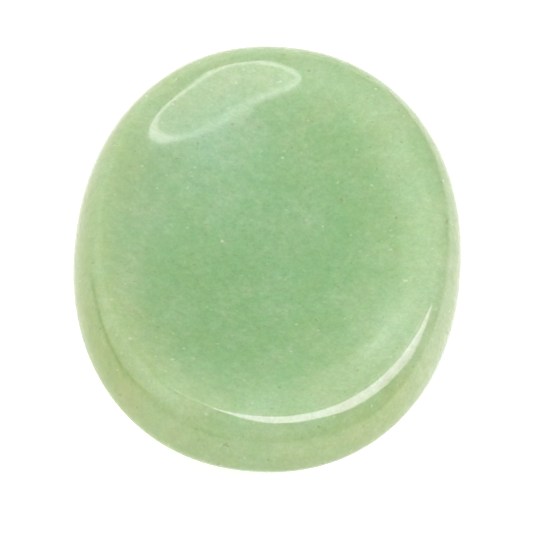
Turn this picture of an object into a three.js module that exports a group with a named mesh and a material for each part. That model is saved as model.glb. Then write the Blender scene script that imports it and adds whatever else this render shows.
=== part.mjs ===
// Green aventurine worry stone: one polished oval pebble with a thumb hollow in its top.
// Millimetres, +Z up. The stone rests at z = 0, its long axis runs along Y.
import * as THREE from "three";

// Driving dimensions
const WIDTH = 35; // across the oval, along X
const LENGTH = 45; // along the oval, along Y
const THICKNESS = 7.2; // from the rest spot to the top of the rim
const OVAL_FULLNESS = 2.14; // 2 is a plain ellipse, more is squarer
const WAIST_HEIGHT = 2.95; // height of the widest line round the stone
const REST_RADIUS = 6; // half width of the flat spot that the stone rests on
const RIM_INSET = 2.52; // from the widest line in to the top of the rim
const TURN_WIDTH = 0.45; // from the top of the rim in to the lip, where the bowl of the hollow starts
const LIP_SLOPE = 0.216; // how steeply the bowl starts to fall at its lip
const BOWL_DEPTH = 1.79; // depth of the bowl below its lip
const HOLLOW_SHIFT = 0.16; // how far the rim and the hollow lie off the middle, along Y
const BELLY_FULLNESS = 0.75; // 0.55 is a quarter of an ellipse, more is a flatter underside

// Facets of each stretch of the profile, and facets round the oval
const BELLY_STEPS = 8;
const FLANK_STEPS = 10;
const TURN_STEPS = 4;
const BOWL_STEPS = 10;
const ROUND_STEPS = 80;

const QUARTER_ROUND = 0.5523; // handle length that makes a cubic a quarter of an ellipse

const COLOUR = 0x9fc58f;

// Points of one cubic curve of the profile, without the last one
function stretch(start, handleOut, handleIn, end, steps) {
  const corners = [start, handleOut, handleIn, end].map(([x, y]) => new THREE.Vector2(x, y));
  return new THREE.CubicBezierCurve(...corners).getPoints(steps).slice(0, -1);
}

// Half section in the X plane, from the middle of the underside round to the middle of the hollow
function halfSection() {
  const waist = WIDTH / 2;
  const rim = waist - RIM_INSET;
  const lip = rim - TURN_WIDTH;
  const lipHeight = THICKNESS - LIP_SLOPE * TURN_WIDTH * 0.62;
  const floor = lipHeight - BOWL_DEPTH;

  const belly = stretch(
    [REST_RADIUS, 0],
    [REST_RADIUS + (waist - REST_RADIUS) * BELLY_FULLNESS, 0],
    [waist, WAIST_HEIGHT * (1 - BELLY_FULLNESS)],
    [waist, WAIST_HEIGHT],
    BELLY_STEPS,
  );
  const flank = stretch(
    [waist, WAIST_HEIGHT],
    [waist, WAIST_HEIGHT + (THICKNESS - WAIST_HEIGHT) * QUARTER_ROUND],
    [rim + RIM_INSET * (1 - QUARTER_ROUND), THICKNESS],
    [rim, THICKNESS],
    FLANK_STEPS,
  );
  const turn = stretch(
    [rim, THICKNESS],
    [rim - TURN_WIDTH * 0.43, THICKNESS],
    [lip + TURN_WIDTH * 0.47, lipHeight + TURN_WIDTH * 0.47 * LIP_SLOPE],
    [lip, lipHeight],
    TURN_STEPS,
  );
  const bowl = stretch(
    [lip, lipHeight],
    [lip * 0.8, lipHeight - lip * 0.2 * LIP_SLOPE],
    [lip * 0.6, floor],
    [0, floor],
    BOWL_STEPS,
  );
  const underside = [new THREE.Vector2(0, 0)];
  const middle = [new THREE.Vector2(0, floor)];
  return [...underside, ...belly, ...flank, ...turn, ...bowl, ...middle];
}

// How far the oval reaches in the direction of an angle, for a half width of 1
function ovalReach(angle) {
  const across = Math.abs(Math.cos(angle)) ** OVAL_FULLNESS;
  const along = Math.abs((Math.sin(angle) * WIDTH) / LENGTH) ** OVAL_FULLNESS;
  return (across + along) ** (-1 / OVAL_FULLNESS);
}

// How far a point above the widest line moves along Y: nothing there, all of it from the rim inwards
function hollowShift(radius, height) {
  const climb = Math.min(1, (WIDTH / 2 - radius) / RIM_INSET);
  return height > WAIST_HEIGHT ? HOLLOW_SHIFT * (1 - (1 - climb) ** 2) : 0;
}

// The half section turned round Z, with every ring stretched from a circle to the oval
function stoneGeometry() {
  const geometry = new THREE.LatheGeometry(halfSection(), ROUND_STEPS);
  geometry.rotateX(Math.PI / 2);
  const place = geometry.getAttribute("position");
  for (let i = 0; i < place.count; i += 1) {
    const x = place.getX(i);
    const y = place.getY(i);
    const reach = ovalReach(Math.atan2(y, x));
    place.setXY(i, x * reach, y * reach + hollowShift(Math.hypot(x, y), place.getZ(i)));
  }
  geometry.computeVertexNormals();
  return geometry;
}

function polishedAventurine() {
  return new THREE.MeshStandardMaterial({ color: COLOUR, roughness: 0.15, metalness: 0 });
}

const stone = new THREE.Mesh(stoneGeometry(), polishedAventurine());
stone.name = "worry_stone";

const part = new THREE.Group();
part.add(stone);

export default part;
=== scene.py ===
# %% [markdown]
# # A green aventurine worry stone
#
# A worry stone is an oval pebble, polished all over, with a shallow hollow for the thumb.
# Its whole look comes from three things: an even, soft shape, a pale green body that is a
# little cloudy and full of tiny grains, and a few clean reflections. The frame already holds
# the solid stone at its real size, so this script makes a finer skin of the same shape, gives
# it the look of aventurine and lights it.

# %% Load the frame
from math import atan2, cos, pi, radians, sin

import bmesh
import bpy
from mathutils import Matrix, Vector
from mathutils.geometry import interpolate_bezier


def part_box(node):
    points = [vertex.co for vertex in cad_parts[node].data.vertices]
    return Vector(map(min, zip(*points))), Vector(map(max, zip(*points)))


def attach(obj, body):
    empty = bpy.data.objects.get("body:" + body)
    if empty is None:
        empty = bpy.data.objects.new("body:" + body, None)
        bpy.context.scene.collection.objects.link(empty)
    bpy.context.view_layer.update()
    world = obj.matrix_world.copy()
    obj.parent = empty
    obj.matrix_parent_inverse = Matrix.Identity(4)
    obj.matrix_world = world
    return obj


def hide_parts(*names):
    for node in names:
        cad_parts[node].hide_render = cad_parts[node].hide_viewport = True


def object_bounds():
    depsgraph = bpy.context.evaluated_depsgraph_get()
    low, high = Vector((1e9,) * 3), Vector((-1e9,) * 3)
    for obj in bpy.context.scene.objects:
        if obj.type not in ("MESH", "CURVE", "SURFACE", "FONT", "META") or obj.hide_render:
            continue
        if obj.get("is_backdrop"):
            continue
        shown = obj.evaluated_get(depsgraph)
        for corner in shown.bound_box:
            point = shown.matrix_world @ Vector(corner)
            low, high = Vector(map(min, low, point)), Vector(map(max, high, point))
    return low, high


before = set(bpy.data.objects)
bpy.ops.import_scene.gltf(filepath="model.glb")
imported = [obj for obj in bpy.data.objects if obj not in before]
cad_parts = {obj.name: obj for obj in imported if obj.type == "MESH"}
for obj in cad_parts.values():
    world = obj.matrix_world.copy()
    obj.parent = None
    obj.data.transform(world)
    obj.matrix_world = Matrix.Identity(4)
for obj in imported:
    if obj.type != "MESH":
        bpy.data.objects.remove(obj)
cad_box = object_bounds()
stone_low, stone_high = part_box("worry_stone")
print("stone from", [round(v, 5) for v in stone_low], "to", [round(v, 5) for v in stone_high])

# %% [markdown]
# ## The section of the stone
#
# Cut the stone across its middle and look at one half of the cut. From the middle of the
# underside the line runs flat, swells up into the waist, climbs the flank to the rim, rolls
# over the rim and dips into the bowl of the hollow. The outline could be drawn point by point,
# but five short cubic curves say the same with a few sizes, and curves that share a tangent
# where they meet leave no edge in the polish. Blender has a function that walks along a cubic
# curve, so one call gives each stretch. A curve leaves each end towards a handle, and the
# handles' lengths are given as shares of the stretch.

# %% The driving sizes, in metres
mm = 0.001
half_width = stone_high.x
half_length = stone_high.y
thickness = stone_high.z
oval_fullness = 2.14
waist_height = 2.95 * mm
rest_radius = 6.0 * mm
rim_inset = 2.52 * mm
turn_width = 0.45 * mm
lip_slope = 0.216
bowl_depth = 1.79 * mm
hollow_shift = 0.16 * mm
belly_fullness = 0.75
print("oval of", round(half_width / mm * 2, 2), "by", round(half_length / mm * 2, 2), "mm")

# %% One stretch of the section
quarter_round = 0.5523  # the share that makes a quarter of an ellipse
rim_handle = 0.43
lip_handle = 0.47
bowl_start_handle = 0.2
bowl_end_handle = 0.6


def stretch(start, handle_out, handle_in, end, steps):
    """Points along one cubic curve of the section, without its last point."""
    corners = [Vector((across, 0, up)) for across, up in (start, handle_out, handle_in, end)]
    return interpolate_bezier(*corners, steps + 1)[:-1]


# %% Half of the section, as points in the plane of X and Z
rest_steps = 8
belly_steps = 28
flank_steps = 40
turn_steps = 16
bowl_steps = 44
turn_fall = 0.62  # the share of its fall if it were as steep as the lip all the way

rim = half_width - rim_inset
lip = rim - turn_width
lip_height = thickness - lip_slope * turn_width * turn_fall
hollow_floor = lip_height - bowl_depth

rest = stretch(
    (0, 0),
    (rest_radius / 3, 0),
    (rest_radius * 2 / 3, 0),
    (rest_radius, 0),
    rest_steps,
)
belly = stretch(
    (rest_radius, 0),
    (rest_radius + (half_width - rest_radius) * belly_fullness, 0),
    (half_width, waist_height * (1 - belly_fullness)),
    (half_width, waist_height),
    belly_steps,
)
flank = stretch(
    (half_width, waist_height),
    (half_width, waist_height + (thickness - waist_height) * quarter_round),
    (rim + rim_inset * (1 - quarter_round), thickness),
    (rim, thickness),
    flank_steps,
)
turn = stretch(
    (rim, thickness),
    (rim - turn_width * rim_handle, thickness),
    (lip + turn_width * lip_handle, lip_height + turn_width * lip_handle * lip_slope),
    (lip, lip_height),
    turn_steps,
)
bowl = stretch(
    (lip, lip_height),
    (lip * (1 - bowl_start_handle), lip_height - lip * bowl_start_handle * lip_slope),
    (lip * bowl_end_handle, hollow_floor),
    (0, hollow_floor),
    bowl_steps,
)
section = rest + belly + flank + turn + bowl + [Vector((0, 0, hollow_floor))]
print(len(section), "points in the section")
print("hollow", round((thickness - hollow_floor) / mm, 2), "mm deep")

# %% [markdown]
# ## Turning the section into a stone
#
# A lathe would turn this line into a round stone. The spin operator is that lathe: it carries
# the line once round Z and joins each step to the next. The real stone is oval, so each ring
# is then pushed out by how far the oval reaches in that direction. The oval is a little fuller
# than an ellipse, which shows in its blunt ends. The rim and the hollow sit a hair off the
# middle, as they do where a hand holds the stone against the wheel.


# %% How far the oval reaches
def oval_reach(angle):
    """How far the oval reaches in the direction of an angle, for a half width of 1."""
    across = abs(cos(angle)) ** oval_fullness
    along = abs(sin(angle) * half_width / half_length) ** oval_fullness
    return (across + along) ** (-1 / oval_fullness)


print("the oval is", round(oval_reach(pi / 2), 3), "times as long as it is wide")

# %% [markdown]
# ## Waves left by the polishing wheel
#
# No polished stone is as true as a lens. The wheel leaves long, shallow waves in it, far too
# low to feel, which bend the edges of the reflections. Bump in the material could fake them,
# but at a few millimetres long they are better as real shape, which every view then shares.

# %% One row of waves across the stone
wave_length = 9.0 * mm
wave_height = 0.015 * mm
wave_start = 4.87
wave_end = 8  # the higher, the nearer to the waist the waves die out


def polish_wave(x, y):
    """How far the polished top rises or falls at one place."""
    from_middle = ((x / half_width) ** 2 + (y / half_length) ** 2) ** 0.5
    height = wave_height * max(0, 1 - from_middle**wave_end)
    return height * sin(2 * pi * y / wave_length + wave_start)


print("waves", round(wave_height / mm, 3), "mm high and", round(wave_length / mm, 1), "mm long")

# %% Spin, merge, stretch and wave
round_steps = 192
same_place = 0.0001 * mm

stone_shape = bmesh.new()
line = [stone_shape.verts.new(point) for point in section]
edges = [stone_shape.edges.new(pair) for pair in zip(line, line[1:])]
bmesh.ops.spin(
    stone_shape,
    geom=line + edges,
    cent=(0, 0, 0),
    axis=(0, 0, 1),
    angle=2 * pi,
    steps=round_steps,
    use_merge=True,
)
bmesh.ops.remove_doubles(stone_shape, verts=stone_shape.verts, dist=same_place)
for vert in stone_shape.verts:
    climb = min(1, (half_width - vert.co.xy.length) / rim_inset)
    reach = oval_reach(atan2(vert.co.y, vert.co.x))
    vert.co.x *= reach
    vert.co.y *= reach
    if vert.co.z > waist_height:
        vert.co.y += hollow_shift * (1 - (1 - climb) ** 2)
        vert.co.z += polish_wave(vert.co.x, vert.co.y)
bmesh.ops.recalc_face_normals(stone_shape, faces=stone_shape.faces)
open_edges = [edge for edge in stone_shape.edges if len(edge.link_faces) != 2]
print(len(stone_shape.faces), "faces,", len(open_edges), "open edges")

# %% Hand the skin to the frame
stone_mesh = bpy.data.meshes.new("polished_stone")
stone_shape.to_mesh(stone_mesh)
stone_shape.free()
stone_mesh.shade_smooth()
stone = bpy.data.objects.new("polished_stone", stone_mesh)
bpy.context.collection.objects.link(stone)
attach(stone, "root")
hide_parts("worry_stone")
print(stone.name, "takes the place of the plain solid")

# %% [markdown]
# ## The look of aventurine
#
# Aventurine is quartz full of tiny flakes of green mica. From a hand away it is a soft, milky
# green. Here it is drawn deeper in the middle of the hollow and paler and warmer towards the rim,
# and part of that is painted light: shade in the hollow and a glow through the thin rim. Closer
# up it has faint clouds, a fine grain, small pale flecks where a flake catches the light, which
# are painted glints, and a few dark specks. One noise can't be all of that, so each is a pattern
# of its own, and they are laid over each other from the largest to the smallest. They are
# measured in metres on Object coordinates, so that they keep their true scale and go right
# through the stone.

# %% A material to fill, and short names for its steps
aventurine = bpy.data.materials.new("green_aventurine")
aventurine.use_nodes = True
tree = aventurine.node_tree
tree.nodes.clear()


def add(kind, inputs=None, **settings):
    """Adds a node, sets its settings, and fills or links its inputs."""
    node = tree.nodes.new(kind)
    for name, value in settings.items():
        setattr(node, name, value)
    for name, value in (inputs or {}).items():
        if isinstance(value, bpy.types.NodeSocket):
            tree.links.new(value, node.inputs[name])
        else:
            node.inputs[name].default_value = value
    return node


def calculate(operation, first, second=0.0, third=0.0, clamp=False):
    """One step of arithmetic on numbers."""
    inputs = {0: first, 1: second, 2: third}
    return add("ShaderNodeMath", inputs, operation=operation, use_clamp=clamp).outputs[0]


def fade(value, low, high):
    """0 below low, 1 above high and a smooth climb between them."""
    inputs = {"Value": value, "From Min": low, "From Max": high}
    return add("ShaderNodeMapRange", inputs, interpolation_type="SMOOTHSTEP").outputs["Result"]


def blend(amount, under, over, mode="MIX"):
    """Lays one colour over another. The Mix node's sockets 6, 7 and 2 are those for colours."""
    node = add("ShaderNodeMix", data_type="RGBA", blend_type=mode)
    for socket, value in ((node.inputs[0], amount), (node.inputs[6], under), (node.inputs[7], over)):
        if isinstance(value, bpy.types.NodeSocket):
            tree.links.new(value, socket)
        else:
            socket.default_value = value
    return node.outputs[2]


# %% [markdown]
# ## Body colour
#
# The middle of the hollow is the deepest green. Outwards the stone turns paler up to the lip of
# the hollow, dips a little along the rim and ends in a warm, thin edge at the waist. Part of this
# is the stone's own colour and part is painted light: painted shade deepens the middle of the
# hollow, and a painted glow of light through the thin rim makes the lip paler. A ramp that
# reads the distance from the middle, counted in half widths and half lengths, gives oval rings
# of colour. One side of the stone is painted paler than the other, as a painted glow of the light
# that comes in through its right flank. So there are two ramps, a shaded one and a lit one, and
# a slow fade across the stone leads from one to the other.

# %% Where a point lies on the stone
place = add("ShaderNodeTexCoord").outputs["Object"]
oval_place = add(
    "ShaderNodeMapping",
    {"Vector": place, "Scale": (1 / half_width, 1 / half_length, 0)},
).outputs["Vector"]
out = add("ShaderNodeVectorMath", {0: oval_place}, operation="LENGTH").outputs["Value"]
print("one is", round(half_width / mm, 1), "mm across and", round(half_length / mm, 1), "mm along")


# %% Rings of colour, from the middle of the hollow to the waist
def rings(stops):
    """A colour for each distance from the middle, blended smoothly."""
    ramp = add("ShaderNodeValToRGB", {"Fac": out})
    ramp.color_ramp.interpolation = "B_SPLINE"
    while len(ramp.color_ramp.elements) < len(stops):
        ramp.color_ramp.elements.new(0.5)
    for element, (position, *colour) in zip(ramp.color_ramp.elements, stops):
        element.position = position
        element.color = (*colour, 1)
    return ramp.outputs["Color"]


# Rings partly of the stone's own green, partly painted light: painted shade in the middle, a painted
# glow at the lip.
shaded_side = rings((
    (0.00, 0.20, 0.39, 0.15),
    (0.35, 0.20, 0.41, 0.16),
    (0.66, 0.21, 0.40, 0.16),
    (0.80, 0.27, 0.43, 0.18),
    (0.92, 0.33, 0.50, 0.22),
    (1.00, 0.34, 0.46, 0.14),
))
# The lit side: its paler rings are a painted glow of the light coming in through the right flank.
lit_side = rings((
    (0.00, 0.20, 0.43, 0.19),
    (0.35, 0.22, 0.43, 0.17),
    (0.66, 0.26, 0.47, 0.19),
    (0.81, 0.38, 0.59, 0.29),
    (0.90, 0.24, 0.42, 0.18),
    (1.00, 0.29, 0.43, 0.16),
))
to_lit_side = (0.96, 0.28, 0)
lean = add("ShaderNodeVectorMath", {0: oval_place, 1: to_lit_side}, operation="DOT_PRODUCT")
body = blend(fade(lean.outputs["Value"], -0.9, 0.9), shaded_side, lit_side)
print("the rings of colour take", len(tree.nodes), "nodes")

# %% [markdown]
# ## Large clouds
#
# Where the mica lies thick or thin the stone has clouds as wide as a fingertip. Noise would put
# them anywhere, and these have places of their own: a bluish one behind the middle, a dark one
# before it, pale ones along the rim. So each is a ball of colour that fades from its centre.

# %% A cloud with a place of its own
cloud_height = thickness * 0.8


def patch(under, across, along, radius, colour, amount):
    """A soft cloud of another colour round one place in the stone, in millimetres."""
    centre = (across * mm, along * mm, cloud_height)
    away = add("ShaderNodeVectorMath", {0: place, 1: centre}, operation="DISTANCE").outputs["Value"]
    thick = calculate("MULTIPLY", fade(away, radius * mm, 0), amount)
    return blend(thick, under, (*colour, 1))


# %% Each cloud's place across and along the stone, its radius, its colour and how strong it is
clouds = (
    (-6, 10, 10, (0.43, 0.68, 0.52), 0.19),
    (-11, 1, 6, (0.42, 0.66, 0.54), 0.09),
    (-3, -9, 12, (0.10, 0.27, 0.08), 0.16),
    (0, -23, 13, (0.24, 0.58, 0.32), 0.18),
    (14, -8, 9, (0.60, 0.76, 0.56), 0.12),
    (11, 18, 7, (0.58, 0.78, 0.54), 0.08),
    (-8, -20, 7, (0.52, 0.74, 0.44), 0.16),
)
for across, along, radius, colour, amount in clouds:
    body = patch(body, across, along, radius, colour, amount)
print(len(clouds), "large clouds")

# %% [markdown]
# ## Milk, warmth, grain, flecks and specks
#
# Between the clouds the quartz is milky in places and a little warmer or cooler in others,
# patch by patch of a few millimetres. Over that lies the grain, the sum of flakes too small to
# see one by one. Here and there a larger flake catches the light as a pale fleck, or lies deep
# and dark. All of it is noise at its real size: many octaves make grain, and a noise of one
# octave that is cut off near its top leaves only a few round dots.


# %% Noise at a real size
def lumps(size, detail, roughness, shift):
    """Noise whose largest lumps are about one size across, in metres."""
    moved = add("ShaderNodeMapping", {"Vector": place, "Location": shift}).outputs["Vector"]
    inputs = {"Vector": moved, "Scale": 1 / size, "Detail": detail, "Roughness": roughness}
    return add("ShaderNodeTexNoise", inputs).outputs["Fac"]


# %% Milk and warmth
milk_size = 4.5 * mm
milk_colour = (0.75, 0.80, 0.68, 1)
milk_growth = 0.40
milk_cut = -0.175
warmth_size = 4.0 * mm
cooler = (0.94, 1.01, 1.03, 1)
warmer = (1.06, 0.99, 0.97, 1)

milk = lumps(milk_size, 4, 0.9, (0.02, 0, 0))
milkiness = calculate("MULTIPLY_ADD", milk, milk_growth, milk_cut, clamp=True)
body = blend(milkiness, body, milk_colour)

warmth = lumps(warmth_size, 4, 0.8, (0, 0, 0.03))
tint = blend(fade(warmth, 0.2, 0.8), cooler, warmer)
body = blend(1.0, body, tint, "MULTIPLY")
print("milk in lumps of", milk_size / mm, "mm, warmth in lumps of", warmth_size / mm, "mm")

# %% Grain, a little weaker towards the rim
grain_size = 0.9 * mm
grain_in_middle = 0.74
grain_at_rim = 0.58

grain = lumps(grain_size, 4, 1.0, (0, 0.03, 0))
inward = fade(out, 0.85, 0.35)
depth = calculate("MULTIPLY_ADD", inward, grain_in_middle - grain_at_rim, grain_at_rim)
shade = calculate("MULTIPLY_ADD", calculate("SUBTRACT", grain, 0.5), depth, 1.0)
grey = add("ShaderNodeCombineColor", {"Red": shade, "Green": shade, "Blue": shade}).outputs["Color"]
body = blend(1.0, body, grey, "MULTIPLY")
print("grain", grain_at_rim, "deep at the rim and", grain_in_middle, "in the middle")

# %% Flecks and specks
dot_size = 0.50 * mm


def dots(under, shift, low, high, colour, amount):
    """Round dots of another colour, where a noise of one octave climbs from low to high."""
    noise = lumps(dot_size, 0, 0.5, shift)
    return blend(calculate("MULTIPLY", fade(noise, low, high), amount), under, (*colour, 1))


# Pale dots are painted glints of flakes that catch the light; dark dots are flakes that lie deep.
body = dots(body, (0, 0, 0.01), 0.745, 0.92, (0.76, 0.90, 0.66), 0.26)
body = dots(body, (0, 0, 0.04), 0.765, 0.88, (0.22, 0.22, 0.10), 0.45)
print("the body colour takes", len(tree.nodes), "nodes")

# %% [markdown]
# ## Polish
#
# The stone is tumbled until it shines, so its roughness is low, and lowest on the flank, where
# the wheel reaches best. Quartz bends light a little more than glass does. Light also goes in,
# wanders among the flakes and comes out again a few millimetres away. A see-through stone with
# clouds inside it would render slowly and look much the same, so this is subsurface scattering,
# which makes the thin edges glow.

# %% The polished surface
hollow_roughness = 0.10
flank_roughness = 0.04

outward = fade(out, 0.5, 0.8)
smoother = flank_roughness - hollow_roughness
rough = calculate("MULTIPLY_ADD", outward, smoother, hollow_roughness)
surface = add(
    "ShaderNodeBsdfPrincipled",
    {
        "Base Color": body,
        "Roughness": rough,
        "IOR": 1.55,
        "Subsurface Weight": 0.5,
        "Subsurface Radius": (1.0, 1.0, 0.8),
        "Subsurface Scale": 1.5 * mm,
    },
)
add("ShaderNodeOutputMaterial", {"Surface": surface.outputs["BSDF"]})
stone.data.materials.append(aventurine)
print("roughness", hollow_roughness, "in the hollow and", flank_roughness, "on the flank")

# %% [markdown]
# ## Camera
#
# The picture was taken from well above, 34 degrees from straight overhead, with the long axis
# turned a few degrees clockwise. The sides of the oval hardly draw together, so the lens is long
# and the camera is far away.

# %% A camera above the near end
picture_width = 533
sensor_width = 36.0
tilt = radians(34)
turn_clockwise = radians(4.9)
pixels_per_metre = 11080
camera_distance = 0.55
aim_right = -0.16 * mm
aim_down = 1.11 * mm

towards_camera = Vector((0, -sin(tilt), cos(tilt)))
level = Vector((1, 0, 0))
upright = towards_camera.cross(level)
picture_right = cos(turn_clockwise) * level + sin(turn_clockwise) * upright
picture_up = cos(turn_clockwise) * upright - sin(turn_clockwise) * level

aim = Vector((0, 0, thickness / 2)) + picture_right * aim_right - picture_up * aim_down
camera_data = bpy.data.cameras.new("camera")
camera_data.sensor_width = sensor_width
camera_data.lens = camera_distance * pixels_per_metre * sensor_width / picture_width
camera = bpy.data.objects.new("camera", camera_data)
turned = Matrix((picture_right, picture_up, towards_camera)).transposed().to_4x4()
camera.matrix_world = Matrix.Translation(aim + towards_camera * camera_distance) @ turned
bpy.context.collection.objects.link(camera)
bpy.context.scene.camera = camera
print("lens", round(camera_data.lens, 1), "mm")

# %% [markdown]
# ## Floor and lights
#
# Polished stone shows what stands round it, so the lights are chosen by their reflections. A
# white table and pale panels light it softly, and dark gaps between them draw the fine dark
# lines along the rim. Lamps would leave hard dots in the polish, so every light here is a
# glowing card. A card is drawn by the directions of its corners as seen from the stone, because
# that is how a reflection meets it, and it lies far enough away for the whole stone to see it
# alike.


# %% Plain materials for the stage
def plain(name, lightness, glow, tint=(1, 1, 1)):
    """A matt grey, white or black material that glows."""
    material = bpy.data.materials.new(name)
    material.use_nodes = True
    shader = material.node_tree.nodes["Principled BSDF"]
    shader.inputs["Base Color"].default_value = (lightness, lightness, lightness, 1)
    shader.inputs["Roughness"].default_value = 0.9
    shader.inputs["Emission Color"].default_value = (*tint, 1)
    shader.inputs["Emission Strength"].default_value = glow
    return material


def fading(material, along, near, far, glow_far):
    """Lets the glow change to another one, along X or with the distance from the stone."""
    nodes = material.node_tree.nodes
    links = material.node_tree.links
    glow = nodes["Principled BSDF"].inputs["Emission Strength"]
    where = nodes.new("ShaderNodeTexCoord").outputs["Object"]
    if along == "distance":
        measure = nodes.new("ShaderNodeVectorMath")
        measure.operation = "LENGTH"
    else:
        measure = nodes.new("ShaderNodeSeparateXYZ")
    links.new(where, measure.inputs[0])
    falloff = nodes.new("ShaderNodeMapRange")
    falloff.interpolation_type = "SMOOTHSTEP"
    falloff.inputs["From Min"].default_value = near
    falloff.inputs["From Max"].default_value = far
    falloff.inputs["To Min"].default_value = glow.default_value
    falloff.inputs["To Max"].default_value = glow_far
    links.new(measure.outputs["Value" if along == "distance" else along], falloff.inputs["Value"])
    links.new(falloff.outputs["Result"], glow)
    return material


def stage_card(name, near_edge, far_edge, material):
    """A card between two edges of as many points each, which isn't part of the stone."""
    shape = bmesh.new()
    both_edges = []
    for points in (near_edge, far_edge):
        row = [shape.verts.new(point) for point in points]
        both_edges += [shape.edges.new(pair) for pair in zip(row, row[1:])]
    bmesh.ops.bridge_loops(shape, edges=both_edges)
    mesh = bpy.data.meshes.new(name)
    shape.to_mesh(mesh)
    shape.free()
    card = bpy.data.objects.new(name, mesh)
    card.data.materials.append(material)
    bpy.context.collection.objects.link(card)
    card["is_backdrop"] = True
    print(name, "has", len(mesh.polygons), "faces")


# %% Directions as the stone sees them
card_distance = 1.5


def seen_from_stone(directions):
    """Points at one distance, each given by how far right and how far back its direction leans."""
    points = []
    for right, back in directions:
        up = max(0, 1 - right**2 - back**2) ** 0.5
        points.append(Vector((right, back, up)) * card_distance)
    return points


# %% A pale floor that glows, brightest under the stone: painted light that fills the stone's shadow
floor_reach = 3.0
floor_front = [(-floor_reach, -floor_reach, 0), (floor_reach, -floor_reach, 0)]
floor_back = [(-floor_reach, floor_reach, 0), (floor_reach, floor_reach, 0)]
glowing_floor = fading(plain("glowing_floor", 0.4, 0.85), "distance", 0.03, 0.6, 0.4)
stage_card("floor", floor_front, floor_back, glowing_floor)

# %% [markdown]
# ## The softbox overhead
#
# The bright sickle along the near rim is the reflection of a large softbox that hangs over the
# stone, a little to the right. The rim is so tight that it squeezes the whole box into a line
# less than a millimetre wide. The line's two edges are the box's front and back edges, and its
# points are where those edges come closest to each other, so the card follows both edges. Its
# cloth is faintly pink, which turns white on the green stone, and it glows less towards its
# right end, from 0.75 m to 1.35 m right of the stone.

# %% Its front and back edges, from left to right
box_front = (
    (-0.14, 0.04), (-0.09, -0.15), (0.01, -0.34), (0.12, -0.39), (0.26, -0.38), (0.42, -0.34),
    (0.60, -0.335), (0.75, -0.22), (0.84, -0.10), (0.90, 0.10), (0.86, 0.24), (0.76, 0.37),
)
box_back = (
    (-0.13, 0.08), (-0.07, 0.07), (0.02, 0.05), (0.10, 0.05), (0.20, 0.07), (0.30, 0.10),
    (0.38, 0.16), (0.45, 0.25), (0.52, 0.32), (0.60, 0.37), (0.66, 0.39), (0.72, 0.39),
)
box_cloth = fading(plain("softbox_cloth", 0.0, 7.4, (0.98, 0.79, 1.0)), "X", 0.75, 1.35, 4.2)
stage_card("softbox_front", seen_from_stone(box_front), seen_from_stone(box_back), box_cloth)

# %% [markdown]
# ## The gap behind the softbox
#
# In the far side of the hollow lies a leaf of light with a bright outline. The bowl curves there
# so that it shows one straight gap twice, once as each side of the leaf: a narrow, bright gap
# where a second, dimmer sheet of cloth ends. That sheet fills the leaf. Both are strips along
# one slanted line, and the gap's width changes along it as the outline's does.

# %% A slanted line of directions
gap_back = 0.27
gap_slope = 0.423
gap_places = (-0.3, -0.1, 0.0, 0.1, 0.2, 0.27, 0.31, 0.4)
sheet_width = 0.1


def slanted(rises):
    """Directions along the gap, moved forwards or backwards by a rise at each of its places."""
    pairs = zip(gap_places, rises)
    return seen_from_stone([(right, gap_back + gap_slope * right + rise) for right, rise in pairs])


# %% The gap and the dimmer sheet in front of it
gap_front = slanted((-0.001, -0.0015, -0.004, -0.006, -0.006, -0.005, -0.017, -0.020))
gap_rear = slanted((0.001, 0.0015, 0.007, 0.009, 0.006, 0.005, 0.010, 0.012))
stage_card("bright_gap", gap_front, gap_rear, plain("gap_cloth", 0.0, 5.5, (1.0, 0.93, 1.0)))
sheet_front = slanted([-sheet_width] * len(gap_places))
stage_card("dim_sheet", sheet_front, gap_front, plain("sheet_cloth", 0.0, 1.55))

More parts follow.
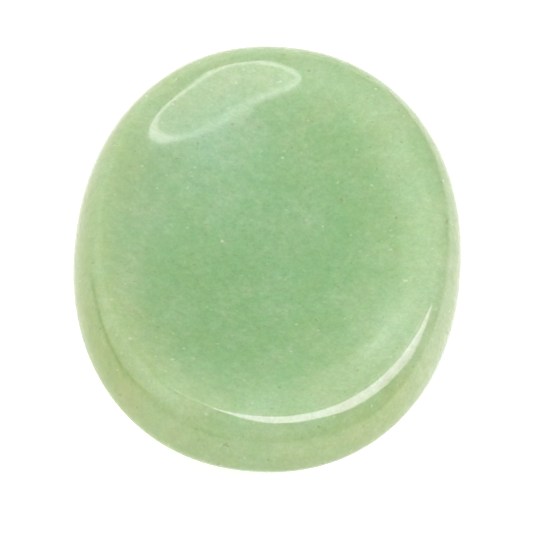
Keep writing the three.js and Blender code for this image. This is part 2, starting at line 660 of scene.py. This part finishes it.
# %% [markdown]
# ## Panels round the stone
#
# The flank faces sideways, so it shows what stands low round the table. A tall pale panel on the
# left gives the wide band of light along the left rim, and the dark gap between it and the low
# panel in front draws the long dark line under that band. A panel is given by turns from the
# right and by how high it starts and ends there, as a wall is surveyed. The left panel's light
# comes up softly, between 0.38 m and 0.56 m left of the stone.


# %% Three bent panels
def wall(stops):
    """The edges of a bent panel. A stop is a bearing, a low and a high climb, in degrees."""
    low_edge = []
    high_edge = []
    for bearing, low, high in stops:
        for edge, climb in ((low_edge, low), (high_edge, high)):
            outwards = cos(radians(climb))
            edge.append((outwards * cos(radians(bearing)), outwards * sin(radians(bearing))))
    return seen_from_stone(low_edge), seen_from_stone(high_edge)


left_wall = (
    (104, 37, 66), (115, 43, 66), (116, 0, 66), (134, 0, 66), (157, 0, 66), (160, 15, 66),
    (182, 15, 66), (194, 16, 66), (202, 19, 66), (208, 26, 64), (216, 35, 58),
)
left_cloth = fading(plain("panel_cloth", 0.0, 0.0), "X", -0.38, -0.56, 1.3)
stage_card("left_panel", *wall(left_wall), left_cloth)

back_wall = ((70, 0, 14), (80, 0, 22), (92, 0, 32), (104, 0, 37), (115, 0, 43))
stage_card("back_panel", *wall(back_wall), plain("back_cloth", 0.0, 1.2))

front_wall = (
    (157, 0, 5), (180, 0, 5), (196, 0, 6), (203, 0, 14), (212, 0, 14), (228, 0, 11), (245, 0, 13),
    (262, 0, 16), (277, 0, 18), (293, 0, 16), (308, 0, 13), (321, 0, 9), (334, 0, 4),
)
stage_card("front_panel", *wall(front_wall), plain("front_cloth", 0.0, 1.1))

# %% A dim room round them
room_light = 0.15

world = bpy.data.worlds.new("studio")
world.use_nodes = True
world.node_tree.nodes["Background"].inputs["Color"].default_value = (1, 1, 1, 1)
world.node_tree.nodes["Background"].inputs["Strength"].default_value = room_light
bpy.context.scene.world = world
bpy.context.scene.view_settings.view_transform = "Standard"
print("room light", room_light)

# %% [markdown]
# ## Last checks
#
# The fine skin has to fill the same box as the solid it stands for, to a few hundredths of a
# millimetre. The last cell prints how much taller the skin is than the solid.

# %% Sizes
visual_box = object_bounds()
taller = visual_box[1][2] - cad_box[1][2]
print("the skin is", round(taller / mm, 3), "mm taller than the solid")
